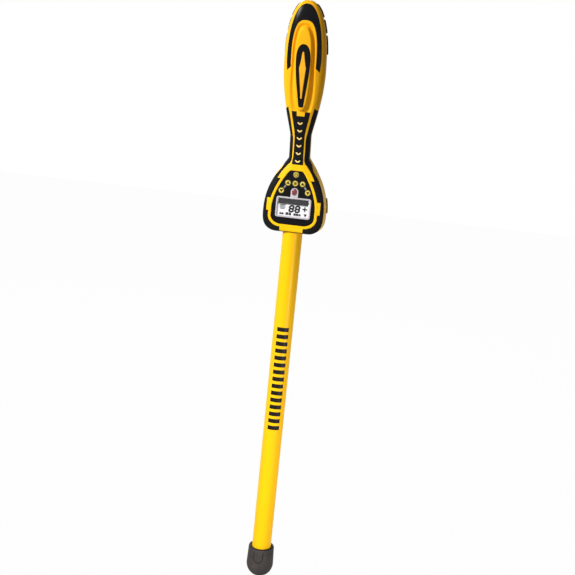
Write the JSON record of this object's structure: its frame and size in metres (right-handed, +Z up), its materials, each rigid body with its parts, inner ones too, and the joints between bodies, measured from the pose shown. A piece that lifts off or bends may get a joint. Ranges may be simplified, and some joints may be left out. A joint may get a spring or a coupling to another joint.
{
  "type": "magnetic locator",
  "caption": "Handheld magnetic locator: a straight sensor tube with a rubber foot under a leaning grip head with display, keypad, warning lamp and a hinged battery door.",
  "frame": {"origin": "on the axis of the sensor tube, at the lowest point of the rubber foot", "axes": "+Z up along the tube towards the handle, -Y out of the display towards the user, +X to the right of a user who looks at the display"},
  "size_m": [0.1078, 0.0944, 1],
  "materials": {
    "yellow_shell": "moulded, satin gloss",
    "yellow_trim": "moulded, satin gloss",
    "black_rubber": "overmoulded, fine matte grain",
    "black_gloss": "polished",
    "black_grip": "matte",
    "black_panel": "fine texture",
    "grey_bezel": "printed grey",
    "window": "clear acrylic, polished",
    "display": "reflective liquid crystal display",
    "red_lens": "translucent red",
    "led": "clear epoxy",
    "keys": "moulded key caps with printed rings",
    "mat_rubber": "silicone",
    "board": "solder mask",
    "chips": "epoxy",
    "sockets": "moulded",
    "steel": "plated",
    "speaker_metal": "plated frame",
    "cloth": "woven dust cloth",
    "tube_paint": "yellow powder coat, smooth",
    "black_plastic": "moulded",
    "rod": "glass-fibre rod",
    "bobbin": "moulded",
    "copper": "enamelled wire",
    "cable": "jacketed cable",
    "boot_rubber": "worn matte",
    "cells": "sleeved cell",
    "knob": "knurled",
    "brass": "turned"
  },
  "bodies": {
    "locator": {"front_shell": "yellow_shell", "rear_shell": "yellow_shell", "front_bumper": "black_rubber", "housing_bumpers": "black_rubber", "bulb_bumpers": "black_rubber", "crown_inlay": "black_gloss", "teardrop_inlay": "black_gloss", "blade_insert": "yellow_trim", "neck_strip": "black_grip", "chevrons": "yellow_trim", "keypad_panel": "black_panel", "display_bezel": "grey_bezel", "display_window": "window", "display_module": "display", "lamp_lens": "red_lens", "lamp_led": "led", "key_mat": "mat_rubber", "main_board": "board", "board_screws": "steel", "board_chips": "chips", "board_sockets": "sockets", "speaker": "speaker_metal", "speaker_cloth": "cloth", "tube": "tube_paint", "tube_seal": "black_rubber", "tube_plug": "black_plastic", "tube_screw": "steel", "tip_plug": "black_plastic", "sensor_rod": "rod", "sensor_bobbins": "bobbin", "sensor_windings": "copper", "sensor_spacers": "black_plastic", "sensor_cable": "cable", "boot": "boot_rubber", "battery_tray": "black_plastic", "batteries": "cells", "battery_springs": "steel", "battery_lead": "cable", "door_pin": "steel", "door_nut": "brass", "case_screws": "steel"},
    "key_power": {"key_power": "keys"},
    "key_centre": {"key_centre": "keys"},
    "key_left_upper": {"key_left_upper": "keys"},
    "key_left_lower": {"key_left_lower": "keys"},
    "key_right_upper": {"key_right_upper": "keys"},
    "key_right_lower": {"key_right_lower": "keys"},
    "battery_door": {"battery_door": "yellow_shell"},
    "door_screw": {"door_screw": "knob"}
  },
  "joints": [
    {"name": "key_power_press", "type": "slide", "parent": "locator", "child": "key_power", "axis": [0, 1, 0], "range_m": [0, 0.001], "stiffness_N_per_m": 800, "springref_m": -0.001},
    {"name": "key_centre_press", "type": "slide", "parent": "locator", "child": "key_centre", "axis": [0, 1, 0], "range_m": [0, 0.001], "stiffness_N_per_m": 800, "springref_m": -0.001},
    {"name": "key_left_upper_press", "type": "slide", "parent": "locator", "child": "key_left_upper", "axis": [0, 1, 0], "range_m": [0, 0.001], "stiffness_N_per_m": 800, "springref_m": -0.001},
    {"name": "key_left_lower_press", "type": "slide", "parent": "locator", "child": "key_left_lower", "axis": [0, 1, 0], "range_m": [0, 0.001], "stiffness_N_per_m": 800, "springref_m": -0.001},
    {"name": "key_right_upper_press", "type": "slide", "parent": "locator", "child": "key_right_upper", "axis": [0, 1, 0], "range_m": [0, 0.001], "stiffness_N_per_m": 800, "springref_m": -0.001},
    {"name": "key_right_lower_press", "type": "slide", "parent": "locator", "child": "key_right_lower", "axis": [0, 1, 0], "range_m": [0, 0.001], "stiffness_N_per_m": 800, "springref_m": -0.001},
    {"name": "battery_door_hinge", "type": "hinge", "parent": "locator", "child": "battery_door", "pos_m": [0, -0.03797, 0.95416], "axis": [1, 0, 0], "range_deg": [0, 75]},
    {"name": "door_screw_turn", "type": "hinge", "parent": "battery_door", "child": "door_screw", "pos_m": [0, -0.00745, 0.8422], "axis": [0, 0.9724, 0.2334], "continuous": true}
  ]
}
